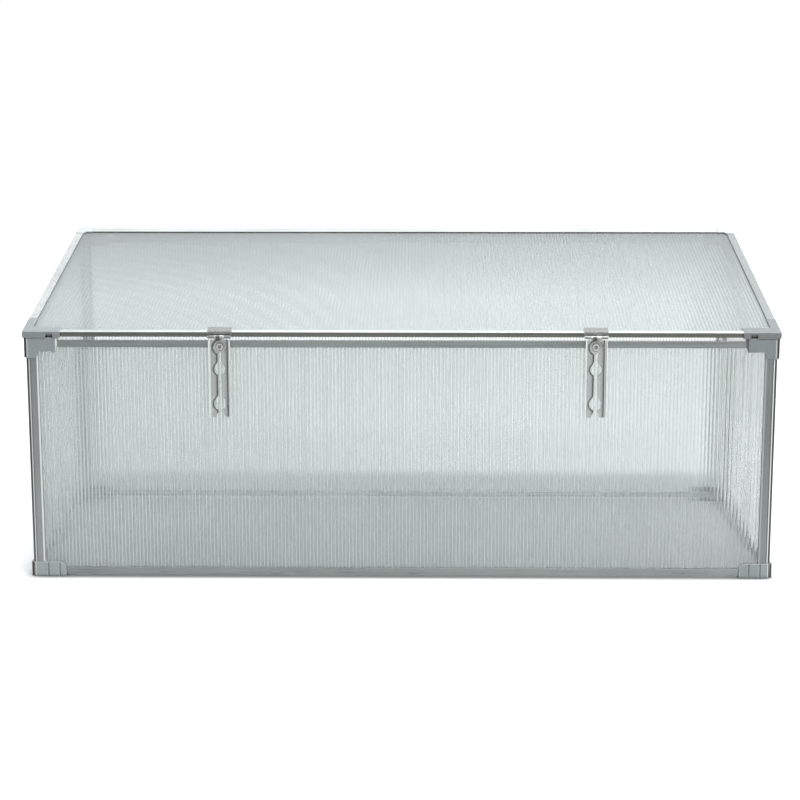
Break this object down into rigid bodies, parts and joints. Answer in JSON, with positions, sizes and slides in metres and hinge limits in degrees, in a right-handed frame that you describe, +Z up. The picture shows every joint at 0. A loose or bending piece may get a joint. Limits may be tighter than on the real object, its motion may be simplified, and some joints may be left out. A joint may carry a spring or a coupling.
{
  "type": "cold frame",
  "caption": "Low greenhouse box of clear twin-wall sheets in aluminium channels, open below, with a sloping lid hinged at the rear and hanging keyhole stays in front.",
  "frame": {"origin": "on the ground, at the middle of the overall plan of the closed frame", "axes": "+Z up, +X along the width towards the right end, the low front faces -Y and the hinge runs along the rear"},
  "size_m": [1.2532, 0.567, 0.5331],
  "materials": {
    "aluminium": "satin mill finish",
    "twin_wall_sheet": "clear twin-wall polycarbonate, slightly milky",
    "grey_moulding": "fine-grained grey moulding",
    "stay_grey": "satin pressed sheet",
    "plated_steel": "bright zinc plate"
  },
  "bodies": {
    "box": {"post_front_left": "aluminium", "post_front_right": "aluminium", "post_rear_left": "aluminium", "post_rear_right": "aluminium", "rail_front_bottom": "aluminium", "rail_rear_bottom": "aluminium", "rail_left_bottom": "aluminium", "rail_right_bottom": "aluminium", "rail_front_top": "aluminium", "rail_rear_top": "aluminium", "rail_left_top": "aluminium", "rail_right_top": "aluminium", "panel_front": "twin_wall_sheet", "panel_rear": "twin_wall_sheet", "panel_left": "twin_wall_sheet", "panel_right": "twin_wall_sheet", "corner_front_left": "grey_moulding", "corner_front_right": "grey_moulding", "corner_rear_left": "grey_moulding", "corner_rear_right": "grey_moulding", "foot_front_left": "grey_moulding", "foot_front_right": "grey_moulding", "foot_rear_left": "grey_moulding", "foot_rear_right": "grey_moulding", "stay_stud_bolts": "plated_steel", "stay_stud_washers": "plated_steel", "stay_stud_nuts": "plated_steel"},
    "lid": {"lid_rail_front": "aluminium", "lid_rail_left": "aluminium", "lid_rail_right": "aluminium", "lid_rail_rear": "aluminium", "lid_panel": "twin_wall_sheet", "lid_corner_front_left": "grey_moulding", "lid_corner_front_right": "grey_moulding", "lid_corner_rear_left": "grey_moulding", "lid_corner_rear_right": "grey_moulding", "lid_corner_screws": "plated_steel", "stay_bracket_left": "stay_grey", "stay_bracket_right": "stay_grey", "stay_pin_left": "plated_steel", "stay_pin_right": "plated_steel"},
    "stay_left": {"stay_left": "stay_grey"},
    "stay_right": {"stay_right": "stay_grey"}
  },
  "joints": [
    {"name": "lid_hinge", "type": "hinge", "parent": "box", "child": "lid", "pos_m": [0, 0.27797, 0.52667], "axis": [-1, 0, 0], "range_deg": [0, 70]},
    {"name": "stay_left_pivot", "type": "hinge", "parent": "lid", "child": "stay_left", "pos_m": [-0.2995, -0.27627, 0.41186], "axis": [-1, 0, 0], "range_deg": [-70, 0]},
    {"name": "stay_right_pivot", "type": "hinge", "parent": "lid", "child": "stay_right", "pos_m": [0.322, -0.27627, 0.41186], "axis": [-1, 0, 0], "range_deg": [-70, 0]}
  ],
  "couplings": [
    {"joint": "stay_left_pivot", "follows": "lid_hinge", "ratio": -1},
    {"joint": "stay_right_pivot", "follows": "lid_hinge", "ratio": -1}
  ]
}
